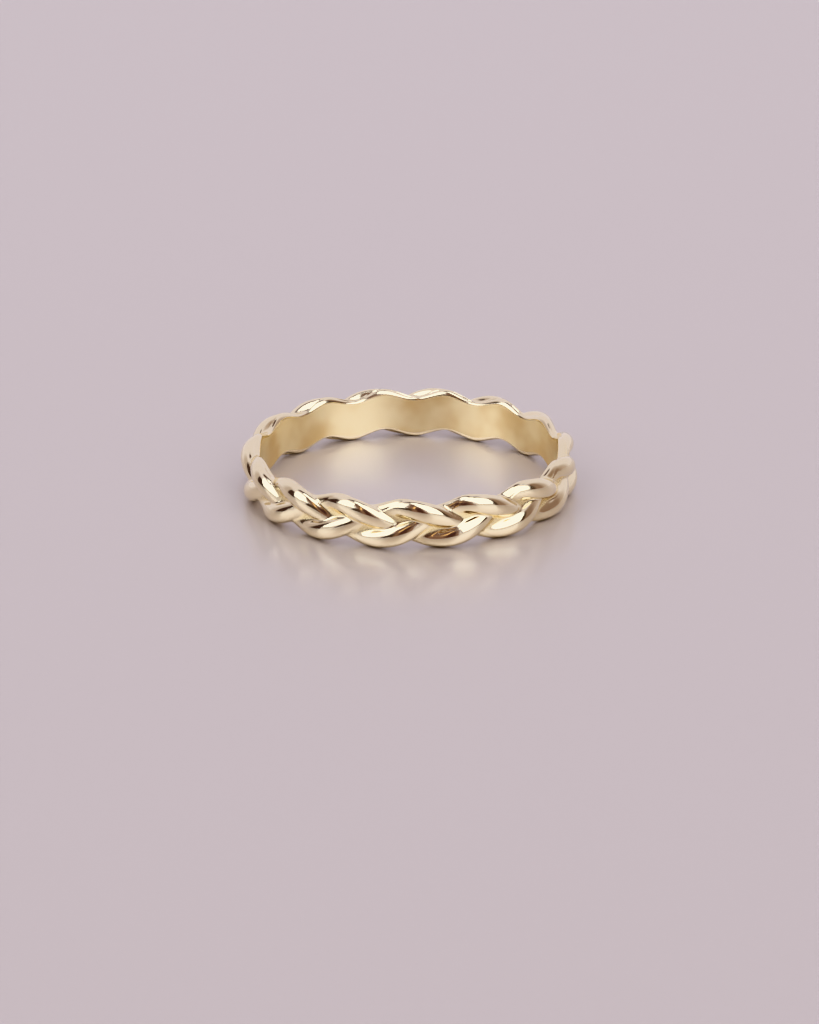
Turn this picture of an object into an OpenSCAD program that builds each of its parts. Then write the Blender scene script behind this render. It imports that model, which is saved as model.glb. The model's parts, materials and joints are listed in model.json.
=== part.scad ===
// Braided band ring: three strands and a smooth inner wall, cast as one piece.
// Millimetres. The ring lies on its side: its axis is Z and it rests on its lower scallops at Z = 0.
// One upper scallop is at -Y, and the strands run counter-clockwise seen from above.

/* [Band] */
// Finger opening, across the smooth inner wall
bore_d = 16.8; // [13:0.1:23]
// Width of the band, from the scallops of one edge to those of the other
band_w = 2.9; // [2.2:0.1:5]
// Thickness of the inner wall that shows as the floor between the strands
wall_t = 0.6; // [0.44:0.02:0.8]
// Rounding of the inner wall's outer edges
wall_round = 0.4; // [0.1:0.02:0.4]
// Distance of the finger opening's edge below the scallop crests, at a crest
rim_drop = 0.28; // [0.2:0.02:0.6]
// Depth of the scallops in the finger opening's edge
rim_scallop = 0.34; // [0:0.02:0.5]
// Mean rounding between the finger opening and the edge
rim_round = 0.22; // [0.1:0.02:0.3]

/* [Braid] */
// Waves that each strand makes in one turn, which gives each edge three times as many scallops
waves = 5; // [3:1:8]
// Width of a strand as it rounds a scallop
strand_w = 1.05; // [0.7:0.05:1.5]
// Height of a strand's crown above its centre line
crown_h = 0.52; // [0.3:0.02:0.8]
// Depth of a strand's belly below its centre line
belly_h = 0.38; // [0.3:0.02:0.6]
// Mean distance of the strands' centre lines from the finger opening
strand_lift = 0.32; // [0.2:0.02:0.4]
// Rise and fall of a strand as it passes over and under its neighbours
weave_h = 0.28; // [0.16:0.02:0.36]
// Share by which a strand is wider where it lies on top and narrower where it dives
swell = 0.15; // [0:0.01:0.25]
// Share of the swing by which a strand leans along the ring after each scallop
lean = 0.06; // [0:0.01:0.2]

/* [Hidden] */

STRANDS = 3;
// Rings of points along one strand in one turn, and along the inner wall
RINGS = 90;
// Sides of a strand's section, over the crown and under the belly
CROWN_SIDES = 9;
BELLY_SIDES = 3;
// Share by which the edge's rounding is wider at a scallop and narrower between two
ROUND_CHANGE = 0.36;
// Rise of the edge with distance from the finger opening, past its rounding
FLARE = 1.2;
// Length by which cutters and buried faces pass the surface that they meet
PASS = 0.1;
// Angle of the first upper scallop
START = -90;

bore_r = bore_d / 2;
// Radius of the strands' mean centre line
strand_r = bore_r + strand_lift;
// Swing of a strand's centre line to either side of the band's middle
swing = (band_w - strand_w) / 2;
// Mean distance of the finger opening's edges from the band's middle
wall_half = band_w / 2 - rim_drop - rim_scallop / 2;
SECTION_SIDES = CROWN_SIDES + BELLY_SIDES;
SCALLOPS = STRANDS * waves;

function unit(v) = v / norm(v);

// Angle round a strand's section for one of its sides, finer over the crown than under the belly
function section_angle(side) =
    side <= CROWN_SIDES
        ? 180 * side / CROWN_SIDES
        : 180 + 180 * (side - CROWN_SIDES) / BELLY_SIDES;

// Offset of a strand along the ring's axis, and its rise outward, at an angle of its wave
function axial(wave) = swing * (cos(wave) + lean * pow(sin(wave), 3));
function rise(wave) = weave_h * sin(2 * wave);

// Direction of a strand as along, axial and outward parts
function heading(wave) =
    unit([
        strand_r,
        swing * waves * (3 * lean * pow(sin(wave), 2) * cos(wave) - sin(wave)),
        2 * weave_h * waves * cos(2 * wave)
    ]);

// A strand's outward direction, square to its heading
function outward(ahead) = unit([0, 0, 1] - ahead * ahead.z);

// Rounding between the finger opening and the edge at a turn angle
function corner(turn) = rim_round * (1 + ROUND_CHANGE * cos(SCALLOPS * turn));

// Height of the finger opening's upper edge above the band's middle
function edge_height(turn) = wall_half + rim_scallop / 2 * cos(SCALLOPS * turn);

// Height of the upper edge's rounded surface at a distance beyond the finger opening
function rounded_height(turn, beyond) =
    let (near = min(max(beyond / corner(turn), 0), 1))
    edge_height(turn) + corner(turn) * sqrt(1 - pow(1 - near, 2));

// The same with the rise past the rounding, up to which strands are left standing
function trim_height(turn, beyond) =
    rounded_height(turn, beyond) + FLARE * max(beyond - corner(turn), 0);

// Turn angle at which the lower edge has the shape that the upper one has at this turn angle
function lower(turn) = turn + 180 / SCALLOPS;

// One point of a strand's surface at a turn angle, for one side of the section
function strand_point(turn, wave, side) =
    let (
        ahead = heading(wave),
        out = outward(ahead),
        across = cross(ahead, out),
        a = section_angle(side),
        half_w = strand_w / 2 * (1 + swell * sin(2 * wave)),
        depth = sin(a) >= 0 ? crown_h : belly_h,
        offset = across * half_w * cos(a) + out * depth * sin(a),
        centre_r = strand_r + rise(wave),
        at = turn + offset.x / centre_r * 180 / PI,
        r = centre_r + offset.z,
        top = trim_height(at, r - bore_r),
        bottom = -trim_height(lower(at), r - bore_r),
        z = min(max(axial(wave) + offset.y, bottom), top)
    )
    [r * cos(START + at), r * sin(START + at), z];

// Triangles of a closed tube of rings, each with the same number of points
function tube_faces(rings, sides) = [
    for (i = [0 : rings - 1])
        for (j = [0 : sides - 1])
            let (
                next = (i + 1) % rings,
                a = i * sides + j,
                b = i * sides + (j + 1) % sides,
                c = next * sides + (j + 1) % sides,
                d = next * sides + j
            )
            each [[a, b, c], [a, c, d]]
];

// Upper half of the inner wall's section at a turn angle, from the inside out, as radius and
// height. Its first side runs on past the finger opening's surface
function half_section(turn) =
    let (
        crown = edge_height(turn) + corner(turn),
        first = [0.3 * corner(turn), rounded_height(turn, 0.3 * corner(turn))],
        slope = (first[1] - edge_height(turn)) / first[0]
    )
    [
        [bore_r - PASS, edge_height(turn) - PASS * slope],
        [bore_r + first[0], first[1]],
        [bore_r + min(corner(turn), wall_t - wall_round), crown],
        [bore_r + wall_t - wall_round * (1 - sin(45)), crown - wall_round * (1 - cos(45))],
        [bore_r + wall_t, crown - wall_round]
    ];

// Whole section of the inner wall at a turn angle
function wall_section(turn) =
    let (low = half_section(lower(turn)), high = half_section(turn), last = len(high) - 1)
    [
        for (p = low) [p[0], -p[1]],
        for (i = [0 : last]) high[last - i]
    ];

// One strand, as a closed tube that runs once round the ring
module strand(phase) {
    points = [
        for (i = [0 : RINGS - 1])
            let (turn = 360 * i / RINGS)
            for (side = [0 : SECTION_SIDES - 1])
                strand_point(turn, waves * turn + phase, side)
    ];
    polyhedron(points, tube_faces(RINGS, SECTION_SIDES));
}

// The wall behind the strands, whose edges follow the scallops
module inner_wall() {
    points = [
        for (i = [0 : RINGS - 1])
            let (turn = 360 * i / RINGS)
            for (p = wall_section(turn))
                [p[0] * cos(START + turn), p[0] * sin(START + turn), p[1]]
    ];
    polyhedron(points, tube_faces(RINGS, len(wall_section(0))));
}

// Strands and wall as one body, brought to the stated width because lean and swell
// carry the crests a few hundredths past the swing
module braid() {
    resize([0, 0, band_w])
        union() {
            inner_wall();
            for (k = [0 : STRANDS - 1])
                strand(360 * k / STRANDS);
        }
}

module braided_band() {
    color("gold")
        translate([0, 0, band_w / 2])
            difference() {
                braid();
                cylinder(h = band_w + 2 * PASS, r = bore_r, center = true, $fn = 180);
            }
}

braided_band();
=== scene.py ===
"""Looks of the braided band ring: one casting of polished gold with a satin finger opening."""

import json
from math import cos, pi, radians, sin, tau

import bpy
import numpy as np
from mathutils import Matrix, Vector


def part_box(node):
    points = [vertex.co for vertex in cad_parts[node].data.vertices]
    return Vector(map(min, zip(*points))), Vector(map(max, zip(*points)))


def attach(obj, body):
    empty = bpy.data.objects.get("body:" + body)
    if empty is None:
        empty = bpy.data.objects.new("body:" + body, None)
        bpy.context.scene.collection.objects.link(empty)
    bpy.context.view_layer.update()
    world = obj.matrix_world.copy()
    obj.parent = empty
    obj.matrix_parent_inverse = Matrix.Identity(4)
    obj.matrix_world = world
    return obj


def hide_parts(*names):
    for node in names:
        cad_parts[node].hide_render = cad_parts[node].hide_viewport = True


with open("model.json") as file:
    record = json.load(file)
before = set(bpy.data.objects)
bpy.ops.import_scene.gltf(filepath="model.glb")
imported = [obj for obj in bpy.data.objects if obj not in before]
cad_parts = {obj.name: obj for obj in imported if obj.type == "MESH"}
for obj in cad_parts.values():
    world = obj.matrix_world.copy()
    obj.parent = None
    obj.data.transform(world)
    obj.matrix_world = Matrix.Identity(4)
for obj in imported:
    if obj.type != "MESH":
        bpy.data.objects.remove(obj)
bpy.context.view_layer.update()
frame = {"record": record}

# Sizes are in millimetres, as in the part's source, and turn into metres where a mesh is made
MM = 0.001
NODE = "braided_band"

# Read from the frame: radius of the finger opening and width of the band
BORE_R = frame["record"]["mounts"][0]["dims"]["r_mm"]
BAND_W = (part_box(NODE)[1][2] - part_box(NODE)[0][2]) / MM

# Braid, with the same values as the part's source
STRANDS = 3
WAVES = 5
STRAND_W = 1.05
CROWN_H = 0.52
BELLY_H = 0.38
STRAND_LIFT = 0.32
WEAVE_H = 0.28
SWELL = 0.15
LEAN = 0.06
WALL_T = 0.6
WALL_ROUND = 0.4
RIM_DROP = 0.28
RIM_SCALLOP = 0.34
RIM_ROUND = 0.22
ROUND_CHANGE = 0.36
FLARE = 1.2
START = -pi / 2

STRAND_R = BORE_R + STRAND_LIFT
SWING = (BAND_W - STRAND_W) / 2
WALL_HALF = BAND_W / 2 - RIM_DROP - RIM_SCALLOP / 2
SCALLOPS = STRANDS * WAVES

# Fillets that casting and polishing leave between the strands, and along a trimmed edge
FILLET = 0.14
TRIM_FILLET = 0.04
# Fineness of the mesh: rings to a scallop, and columns of a ring's section over each rounded
# edge, over the outer face and over the finger opening
SCALLOP_RINGS = 40
EDGE_COLUMNS = 42
FACE_COLUMNS = 62
BORE_COLUMNS = 6
# Outer columns of a section. The finger opening starts at the last of them
OUTER_COLUMNS = 2 * EDGE_COLUMNS + FACE_COLUMNS
# Point inside each rounded edge from which its surface is looked for: its depth behind the
# finger opening's surface, its mean height above the band's middle, and how far that changes
# with the scallops
EDGE_DEPTH = 0.32
EDGE_Z = 0.78
EDGE_Z_CHANGE = 0.12
EDGE_R = BORE_R + EDGE_DEPTH
# Reach and steps of the search for the surface, and the step of its slopes
SEARCH = 1.3
SEARCH_STEPS = 90
HALVINGS = 16
SLOPE_STEP = 0.004
# Rounds in which the nearest section of a strand is found, and a number too small to show
NEAREST_ROUNDS = 5
TINY = 1e-9
# Outward share of the normal at which the grained floor between strands, whose deeper gold is
# partly a painted reflection, begins and is full
FLOOR_BEGINS = 0.4
FLOOR_FULL = 0.8


def axial(wave):
    """Offset of a strand's centre line along the ring's axis."""
    return SWING * (np.cos(wave) + LEAN * np.sin(wave) ** 3)


def rise(wave):
    """Rise of a strand's centre line outward."""
    return WEAVE_H * np.sin(2 * wave)


def unit(v):
    """Vectors of length one in the same directions."""
    return v / np.linalg.norm(v, axis=-1, keepdims=True)


def heading(wave):
    """Direction of a strand as along, axial and outward parts."""
    along = np.full_like(wave, STRAND_R)
    up = SWING * WAVES * (3 * LEAN * np.sin(wave) ** 2 * np.cos(wave) - np.sin(wave))
    out = 2 * WEAVE_H * WAVES * np.cos(2 * wave)
    return unit(np.stack([along, up, out], -1))


def smooth_min(a, b, size):
    """Lesser of two fields, with a fillet of about that size where they meet."""
    near = np.clip(size - np.abs(a - b), 0, None) / size
    return np.minimum(a, b) - near * near * size / 4


def smooth_max(a, b, size):
    """Greater of two fields, with a fillet of about that size where they meet."""
    return -smooth_min(-a, -b, size)


def strand_field(turn, r, z, phase):
    """About the distance from one strand's surface, negative inside it."""
    at = turn.copy()
    for _ in range(NEAREST_ROUNDS):
        wave = WAVES * at + phase
        centre_r = STRAND_R + rise(wave)
        ahead = heading(wave)
        offset = np.stack([(turn - at) * centre_r, z - axial(wave), r - centre_r], -1)
        at = at + (offset * ahead).sum(-1) * ahead[..., 0] / STRAND_R
    outward = unit(np.array([0, 0, 1.0]) - ahead * ahead[..., 2:])
    across = np.cross(ahead, outward)
    x = (offset * across).sum(-1)
    y = (offset * outward).sum(-1)
    half_w = STRAND_W / 2 * (1 + SWELL * np.sin(2 * wave))
    depth = np.where(y >= 0, CROWN_H, BELLY_H)
    level = np.sqrt((x / half_w) ** 2 + (y / depth) ** 2) + TINY
    slope = np.sqrt((x / half_w**2) ** 2 + (y / depth**2) ** 2) / level + TINY
    return (level - 1) / slope


def edge_height(turn):
    """Height of the finger opening's upper edge above the band's middle."""
    return WALL_HALF + RIM_SCALLOP / 2 * np.cos(SCALLOPS * turn)


def rounded_height(turn, beyond, flare):
    """Height of the upper edge's rounded surface at a distance beyond the finger opening."""
    corner = RIM_ROUND * (1 + ROUND_CHANGE * np.cos(SCALLOPS * turn))
    lift = corner * np.sqrt(1 - (1 - np.clip(beyond / corner, 0, 1)) ** 2)
    return edge_height(turn) + lift + flare * np.clip(beyond - corner, 0, None)


def lower(turn):
    """Turn angle at which the upper edge has the shape that the lower one has here."""
    return turn + pi / SCALLOPS


def wall_field(turn, r, z):
    """About the distance from the inner wall's surface, negative inside it."""
    beyond = r - BORE_R
    past = np.clip((beyond - WALL_T + WALL_ROUND) / WALL_ROUND, 0, 1)
    drop = WALL_ROUND * (1 - np.sqrt(1 - past**2))
    over = z - rounded_height(turn, beyond, 0) + drop
    under = -z - rounded_height(lower(turn), beyond, 0) + drop
    return np.maximum(np.maximum(over, under), beyond - WALL_T)


def ring_field(turn, r, z):
    """About the distance from the ring's surface, and how much of it is floor between strands."""
    strands = strand_field(turn, r, z, 0)
    for k in range(1, STRANDS):
        strands = smooth_min(strands, strand_field(turn, r, z, tau * k / STRANDS), FILLET)
    wall = wall_field(turn, r, z)
    whole = smooth_min(strands, wall, FILLET)
    beyond = r - BORE_R
    whole = smooth_max(whole, z - rounded_height(turn, beyond, FLARE), TRIM_FILLET)
    whole = smooth_max(whole, -z - rounded_height(lower(turn), beyond, FLARE), TRIM_FILLET)
    floor = np.clip(0.5 + (strands - wall) / FILLET, 0, 1)
    return whole, floor


def outermost(turn, r, z, dir_r, dir_z):
    """Outermost point of the ring's surface along each ray of a section, as radius and height."""
    def inside(reach):
        return ring_field(turn, r + dir_r * reach, z + dir_z * reach)[0] < 0

    hit = np.zeros_like(turn)
    for reach in np.linspace(0, SEARCH, SEARCH_STEPS):
        hit = np.where(inside(np.full_like(turn, reach)), reach, hit)
    low = hit
    high = hit + SEARCH / (SEARCH_STEPS - 1)
    for _ in range(HALVINGS):
        middle = (low + high) / 2
        within = inside(middle)
        low = np.where(within, middle, low)
        high = np.where(within, high, middle)
    return r + dir_r * low, z + dir_z * low


def edge_rays(turn):
    """Rays of one upper rounded edge, from the finger opening to straight outward."""
    middle = EDGE_Z + EDGE_Z_CHANGE * np.cos(SCALLOPS * turn)
    first = np.arctan2(edge_height(turn) - middle, BORE_R - EDGE_R)
    share = np.linspace(1, 0, EDGE_COLUMNS, endpoint=False)
    return middle, first[:, None] * share


def section_points():
    """Radius and height of each ring's section over one scallop, in closed columns."""
    turn = np.linspace(0, tau / SCALLOPS, SCALLOP_RINGS, endpoint=False)
    top, top_angle = edge_rays(turn)
    bottom, bottom_angle = edge_rays(lower(turn))
    share = np.linspace(0, 1, FACE_COLUMNS)
    face_z = top[:, None] * (1 - share) - bottom[:, None] * share
    z = np.hstack([np.repeat(top[:, None], EDGE_COLUMNS, 1), face_z])
    z = np.hstack([z, -np.repeat(bottom[:, None], EDGE_COLUMNS, 1)])
    angle = np.hstack([top_angle, np.zeros_like(face_z), -bottom_angle[:, ::-1]])
    turns = np.repeat(turn[:, None], z.shape[1], 1)
    r, z = outermost(turns, np.full_like(z, EDGE_R), z, np.cos(angle), np.sin(angle))
    r[:, 0] = r[:, -1] = BORE_R
    z[:, 0] = edge_height(turn)
    z[:, -1] = -edge_height(lower(turn))
    share = np.linspace(0, 1, BORE_COLUMNS + 1)[1:-1]
    bore_z = z[:, -1:] * (1 - share) + z[:, :1] * share
    r = np.hstack([r, np.full_like(bore_z, BORE_R)])
    z = np.hstack([z, bore_z])
    return np.repeat(turn[:, None], z.shape[1], 1), r, z


def surface_normals(turn, r, z):
    """Unit normals as along, axial and outward parts, from the slopes of the ring's field."""
    def slope(along, up, out):
        ahead = ring_field(turn + along / r, r + out, z + up)[0]
        behind = ring_field(turn - along / r, r - out, z - up)[0]
        return ahead - behind

    h = SLOPE_STEP
    normals = unit(np.stack([slope(h, 0, 0), slope(0, h, 0), slope(0, 0, h)], -1))
    normals[:, 0] = [0, 0, -1]
    normals[:, OUTER_COLUMNS - 1 :] = [0, 0, -1]
    return normals


def dressed_band():
    """The whole ring as one smooth surface: one scallop's rings, turned round the axis."""
    turn, r, z = section_points()
    normals = surface_normals(turn, r, z)
    facing = (normals[..., 2] - FLOOR_BEGINS) / (FLOOR_FULL - FLOOR_BEGINS)
    floor = ring_field(turn, r, z)[1] * np.clip(facing, 0, 1)
    low, high = z.min(), z.max()
    height = (z - low) * BAND_W / (high - low)
    columns = z.shape[1]
    places = []
    directions = []
    for k in range(SCALLOPS):
        angle = START + turn + tau * k / SCALLOPS
        cos_a, sin_a = np.cos(angle), np.sin(angle)
        places.append(np.stack([r * cos_a, r * sin_a, height], -1))
        along, up, out = normals[..., 0], normals[..., 1], normals[..., 2]
        east = out * cos_a - along * sin_a
        north = out * sin_a + along * cos_a
        directions.append(np.stack([east, north, up], -1))
    places = np.concatenate(places)
    rings = len(places)
    i, j = np.meshgrid(np.arange(rings), np.arange(columns), indexing="ij")
    i2, j2 = (i + 1) % rings, (j + 1) % columns
    quads = np.stack([i * columns + j, i * columns + j2, i2 * columns + j2, i2 * columns + j], -1)
    mesh = bpy.data.meshes.new("braided_gold_band")
    mesh.from_pydata((places.reshape(-1, 3) * MM).tolist(), [], quads.reshape(-1, 4).tolist())
    mesh.materials.append(polished_gold())
    mesh.materials.append(satin_gold())
    satin = j.reshape(-1) >= OUTER_COLUMNS - 1
    mesh.polygons.foreach_set("material_index", satin.astype(np.int32))
    recess = mesh.attributes.new("recess", "FLOAT", "POINT")
    recess.data.foreach_set("value", np.tile(floor.reshape(-1), SCALLOPS).astype(np.float32))
    mesh.shade_smooth()
    mesh.normals_split_custom_set_from_vertices(np.concatenate(directions).reshape(-1, 3).tolist())
    band = bpy.data.objects.new("braided_gold_band", mesh)
    bpy.context.scene.collection.objects.link(band)
    return band


class Nodes:
    """Short way to add and link the nodes of one material or world."""

    def __init__(self, tree):
        self.tree = tree
        self.tree.nodes.clear()

    def add(self, kind, inputs=None, **settings):
        node = self.tree.nodes.new(kind)
        for key, value in settings.items():
            setattr(node, key, value)
        for key, value in (inputs or {}).items():
            if isinstance(value, bpy.types.NodeSocket):
                self.tree.links.new(value, node.inputs[key])
            else:
                node.inputs[key].default_value = value
        return node

    def math(self, operation, a, b=0.0):
        return self.add("ShaderNodeMath", {0: a, 1: b}, operation=operation).outputs[0]

    def map(self, value, low, high, to_low=0.0, to_high=1.0):
        """Value carried smoothly from one range to another."""
        inputs = {0: value, 1: low, 2: high, 3: to_low, 4: to_high}
        return self.add("ShaderNodeMapRange", inputs, interpolation_type="SMOOTHSTEP").outputs[0]

    def mix(self, factor, a, b):
        return self.add("ShaderNodeMix", {0: factor, 6: a, 7: b}, data_type="RGBA").outputs[2]

    def noise(self, vector, scale, detail=2.0, roughness=0.5):
        inputs = {"Vector": vector, "Scale": scale, "Detail": detail, "Roughness": roughness}
        return self.add("ShaderNodeTexNoise", inputs).outputs[0]

    def place(self, x, y, z, shift=(0, 0, 0)):
        """Point of the surface, with so many units to a millimetre on each axis, then shifted."""
        where = self.add("ShaderNodeTexCoord").outputs["Object"]
        inputs = {"Vector": where, "Scale": (x / MM, y / MM, z / MM), "Location": shift}
        return self.add("ShaderNodeMapping", inputs).outputs[0]

    def bump(self, height, depth, strength, under=None):
        """Dents of a depth in millimetres, on top of those under them."""
        inputs = {"Height": height, "Distance": depth * MM, "Strength": strength}
        if under:
            inputs["Normal"] = under
        return self.add("ShaderNodeBump", inputs).outputs[0]


def rgb(*channels):
    """Linear colour from sRGB channels between 11 and 255."""
    return [((c / 255 + 0.055) / 1.055) ** 2.4 for c in channels] + [1.0]


def new_material(name):
    """An empty material and its nodes."""
    material = bpy.data.materials.new(name)
    material.use_nodes = True
    return material, Nodes(material.node_tree)


def finish_material(nodes, inputs):
    """The material's shader, with its inputs, as what shows."""
    shader = nodes.add("ShaderNodeBsdfPrincipled", inputs)
    nodes.add("ShaderNodeOutputMaterial", {"Surface": shader.outputs[0]})


def polished_gold():
    """Outside: a hand-polished mirror with hairlines, duller and grained between the strands, where
    a deeper gold is partly a painted golden reflection.
    """
    material, nodes = new_material("polished_gold")
    mm = nodes.place(1, 1, 1)
    tint = nodes.noise(mm, scale=0.6, detail=3.0)
    bright = nodes.mix(tint, rgb(243, 229, 192), rgb(249, 236, 205))
    grain = nodes.noise(nodes.place(12, 12, 12), scale=1.0, detail=3.0, roughness=0.6)
    # Between the strands: a deeper gold, partly the cast grain's own tone and partly a painted
    # golden reflection among the strands
    cast_tone_and_painted_reflection = nodes.mix(grain, rgb(242, 222, 168), rgb(250, 233, 186))
    recess = nodes.add("ShaderNodeAttribute", attribute_name="recess").outputs["Fac"]
    color = nodes.mix(recess, bright, cast_tone_and_painted_reflection)
    wear = nodes.noise(mm, scale=4.0, detail=4.0, roughness=0.6)
    shine = nodes.map(wear, 0.35, 0.7, to_low=0.07, to_high=0.14)
    dull = nodes.map(grain, 0.3, 0.7, to_low=0.24, to_high=0.34)
    duller = nodes.math("MULTIPLY", recess, nodes.math("SUBTRACT", dull, shine))
    rough = nodes.math("ADD", shine, duller)
    uneven = nodes.bump(nodes.noise(mm, scale=1.6), depth=0.012, strength=0.35)
    hair = nodes.noise(nodes.place(9, 9, 60), scale=1.0, detail=3.0, roughness=0.7)
    fine = nodes.bump(hair, depth=0.002, strength=0.12, under=uneven)
    inputs = {"Base Color": color, "Metallic": 1.0, "Roughness": rough, "Normal": fine}
    finish_material(nodes, inputs)
    return material


# Shift in millimetres that lays the satin's patches of darker colour about where the photograph has
# them
PATCH_SHIFT = (26, -57, -1)


def satin_gold():
    """Inside of the finger opening, left satin, with fine lines that run round it."""
    material, nodes = new_material("satin_gold")
    mm = nodes.place(1, 1, 1, PATCH_SHIFT)
    patches = nodes.map(nodes.noise(mm, scale=0.38), 0.34, 0.64)
    color = nodes.mix(patches, rgb(232, 206, 153), rgb(251, 236, 193))
    lines = nodes.noise(nodes.place(0.5, 0.5, 30), scale=1.0, detail=3.0, roughness=0.65)
    grain = nodes.noise(nodes.place(9, 9, 9), scale=1.0, detail=3.0, roughness=0.6)
    rough = nodes.map(grain, 0.3, 0.7, to_low=0.3, to_high=0.38)
    brushed = nodes.bump(lines, depth=0.006, strength=0.35)
    dented = nodes.bump(grain, depth=0.008, strength=0.35, under=brushed)
    inputs = {"Base Color": color, "Metallic": 1.0, "Roughness": rough, "Normal": dented}
    finish_material(nodes, inputs)
    return material


FLOOR_DARK = rgb(203, 192, 187)
FLOOR_LIGHT = rgb(209, 198, 193)
FLOOR_METAL = 0.8
# Half the floor's side, in metres, so that its edge is never in view
FLOOR_HALF = 3.0


def pale_floor():
    """Plain pale surface with a soft sheen."""
    mesh = bpy.data.meshes.new("floor")
    corners = [(x * FLOOR_HALF, y * FLOOR_HALF, 0) for x, y in ((-1, -1), (1, -1), (1, 1), (-1, 1))]
    mesh.from_pydata(corners, [], [(0, 1, 2, 3)])
    floor = bpy.data.objects.new("floor", mesh)
    bpy.context.scene.collection.objects.link(floor)
    material, nodes = new_material("pale_floor")
    speckle = nodes.noise(nodes.place(1, 1, 1), scale=3.0, detail=4.0, roughness=0.7)
    color = nodes.mix(speckle, FLOOR_DARK, FLOOR_LIGHT)
    rough = nodes.map(speckle, 0.3, 0.7, to_low=0.58, to_high=0.62)
    inputs = {"Base Color": color, "Metallic": FLOOR_METAL, "Roughness": rough}
    inputs.update({"Coat Weight": 0.7, "Coat Roughness": 0.2, "Coat IOR": 1.5})
    finish_material(nodes, inputs)
    mesh.materials.append(material)


# The studio as seen from the ring. Each area is painted over the ones before it and has its
# least and greatest elevation, its least and greatest azimuth at the one and at the other, its
# soft edge in degrees, its colour and its strength. Azimuth 0 is towards the camera and 90 to
# its right.
ROOM = rgb(236, 230, 243)
AREAS = [
    # dim parts of the room, left, right, between the softboxes and below them
    (-20, 45, (-120, -78), (-118, -86), 20, rgb(200, 187, 190), 1.0),
    (-5, 57, (68, 118), (78, 116), 22, rgb(192, 176, 174), 1.0),
    (-5, 54, (68, 100), (78, 102), 14, rgb(150, 128, 122), 1.0),
    (-5, 46, (-20, 23), (-29, 14), 5, rgb(138, 112, 108), 1.0),
    (44, 76, (-29, 14), (-50, -12), 5, rgb(128, 104, 102), 1.0),
    (2, 30, (-76, -46), (-78, -36), 5, rgb(214, 207, 212), 1.0),
    (-5, 18, (24, 66), (20, 66), 5, rgb(220, 212, 216), 1.0),
    # dark stands, the camera itself and a warm glint beside it
    (-5, 40, (-102, -75), (-98, -84), 4, rgb(74, 62, 68), 1.0),
    (3, 40, (-6, 13), (-6, 8), 4, rgb(86, 68, 74), 1.0),
    (2, 27, (-46, -17), (-34, -17), 4, rgb(84, 74, 76), 1.0),
    (3, 47, (63, 75), (73, 84), 4, rgb(88, 74, 74), 1.0),
    (29, 54, (-14, -10), (-9, -5), 1.5, rgb(249, 205, 146), 1.6),
    # dark line high behind the ring, past the softboxes' far edge
    (68, 80, (112, 185), (112, 185), 2, rgb(96, 76, 76), 1.0),
    (68, 80, (-185, -118), (-185, -118), 2, rgb(96, 76, 76), 1.0),
]

# Softboxes as seen from the ring, given like the areas: two steps of the one on the left, then
# two of the one that reaches from the right up over the ring, and its end past the zenith
SOFTBOXES = [
    (24, 68, (-77, -33), (-92, -38)),
    (15, 27, (-77, -60), (-77, -36)),
    (14, 48, (28, 63), (16, 76)),
    (46, 82, (16, 76), (-14, 90)),
    (82, 100, (-185, 185), (-185, 185)),
]
SOFTBOX_COLOR = rgb(239, 245, 255)
SOFTBOX_STRENGTH = 3.5
# Width and colour of the dark frame round each, and the soft edge of both, in degrees
FRAME = 2.2
FRAME_COLOR = rgb(78, 66, 66)
BOX_SOFT = 1.5


def painted_areas():
    """All areas in the order of painting: the room, the softboxes' frames and the softboxes."""
    areas = list(AREAS)
    for low, high, under, over in SOFTBOXES:
        under = (under[0] - FRAME, under[1] + FRAME)
        over = (over[0] - FRAME, over[1] + FRAME)
        areas.append((low - FRAME, high + FRAME, under, over, BOX_SOFT, FRAME_COLOR, 1.0))
    for box in SOFTBOXES:
        areas.append((*box, BOX_SOFT, SOFTBOX_COLOR, SOFTBOX_STRENGTH))
    return areas


def edge(nodes, value, place, soft, side):
    """1 on the inner side of a soft edge and 0 outside it."""
    return nodes.map(value, place - side * soft / 2, place + side * soft / 2)


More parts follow.
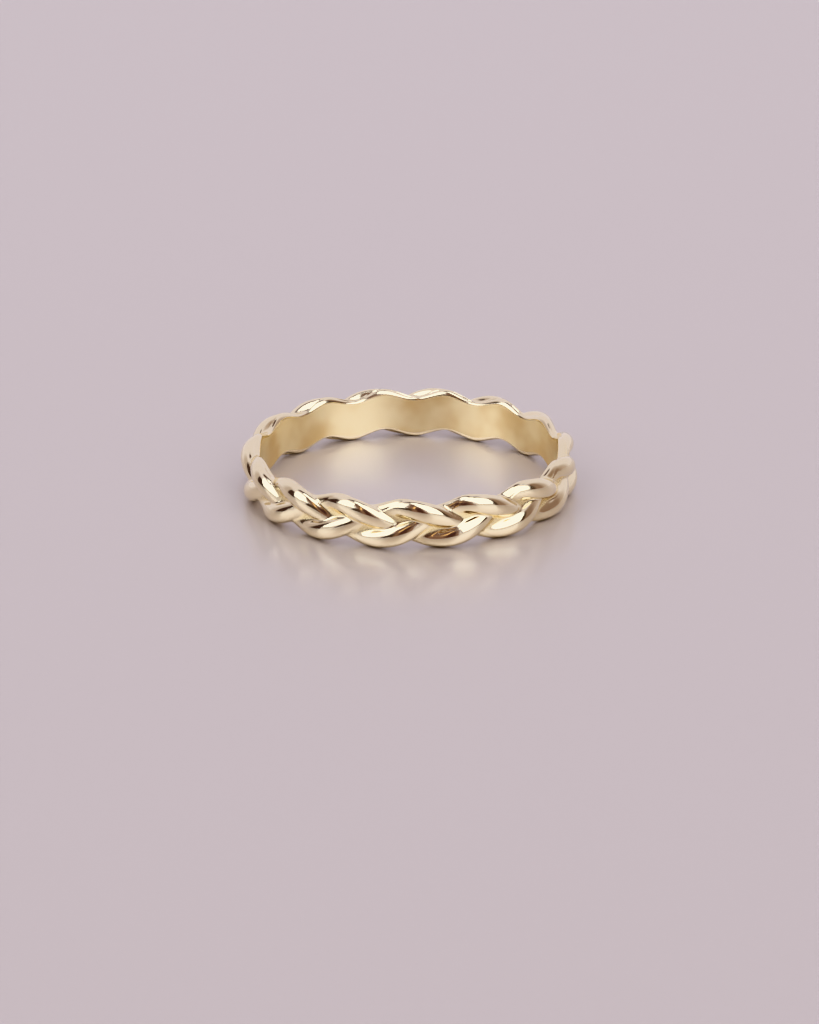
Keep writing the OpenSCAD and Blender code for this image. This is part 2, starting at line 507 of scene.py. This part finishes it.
def studio_light():
    """World of a plain room with softboxes, which depends on the direction alone."""
    world = bpy.data.worlds.new("studio")
    world.use_nodes = True
    nodes = Nodes(world.node_tree)
    way = nodes.add("ShaderNodeTexCoord").outputs["Generated"]
    x, y, z = nodes.add("ShaderNodeSeparateXYZ", {0: way}).outputs
    azimuth = nodes.math("ARCTAN2", x, nodes.math("MULTIPLY", y, -1.0))
    azimuth = nodes.math("DEGREES", azimuth)
    elevation = nodes.math("DEGREES", nodes.math("ARCSINE", z))
    color = ROOM
    for low, high, under, over, soft, paint, strength in painted_areas():
        masks = [edge(nodes, elevation, low, soft, 1), edge(nodes, elevation, high, soft, -1)]
        for side, start, end in zip((1, -1), under, over):
            lean = (end - start) / (high - low)
            straight = nodes.math("SUBTRACT", azimuth, nodes.math("MULTIPLY", elevation, lean))
            masks.append(edge(nodes, straight, start - lean * low, soft, side))
        mask = masks[0]
        for other in masks[1:]:
            mask = nodes.math("MULTIPLY", mask, other)
        color = nodes.mix(mask, color, [c * strength for c in paint[:3]] + [1.0])
    background = nodes.add("ShaderNodeBackground", {"Color": color, "Strength": 1.0})
    nodes.add("ShaderNodeOutputWorld", {"Surface": background.outputs[0]})
    bpy.context.scene.world = world


# Camera of the photograph, worked out in the part's frame: the picture's height and the focal
# length in pixels, its angles, its distance and target in millimetres, and its sensor's height
IMAGE_H = 1024
FOCAL_PX = 7540.096
CAM_YAW = radians(-2.296)
CAM_ELEVATION = radians(21.526)
CAM_ROLL = radians(-0.265)
CAM_DISTANCE = 424.109
CAM_TARGET = Vector((0.147, -3.353, 0))
SENSOR_H = 36


def place_camera():
    """The photograph's camera, without blur."""
    level_ahead = Vector((sin(CAM_YAW), cos(CAM_YAW), 0))
    ahead = level_ahead * cos(CAM_ELEVATION) - Vector((0, 0, sin(CAM_ELEVATION)))
    level = Vector((cos(CAM_YAW), -sin(CAM_YAW), 0))
    above = level.cross(ahead)
    right = level * cos(CAM_ROLL) + above * sin(CAM_ROLL)
    up = above * cos(CAM_ROLL) - level * sin(CAM_ROLL)
    lens = bpy.data.cameras.new("camera")
    lens.sensor_fit = "VERTICAL"
    lens.sensor_height = SENSOR_H
    lens.lens = FOCAL_PX / IMAGE_H * SENSOR_H
    lens.clip_start = 0.01
    lens.clip_end = 20
    camera = bpy.data.objects.new("camera", lens)
    turn = Matrix((right, up, -ahead)).transposed().to_4x4()
    camera.matrix_world = Matrix.Translation((CAM_TARGET - ahead * CAM_DISTANCE) * MM) @ turn
    bpy.context.scene.collection.objects.link(camera)
    bpy.context.scene.camera = camera


place_camera()
pale_floor()
studio_light()
bpy.context.scene.view_settings.view_transform = "Khronos PBR Neutral"

band = dressed_band()
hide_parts(NODE)
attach(band, "root")
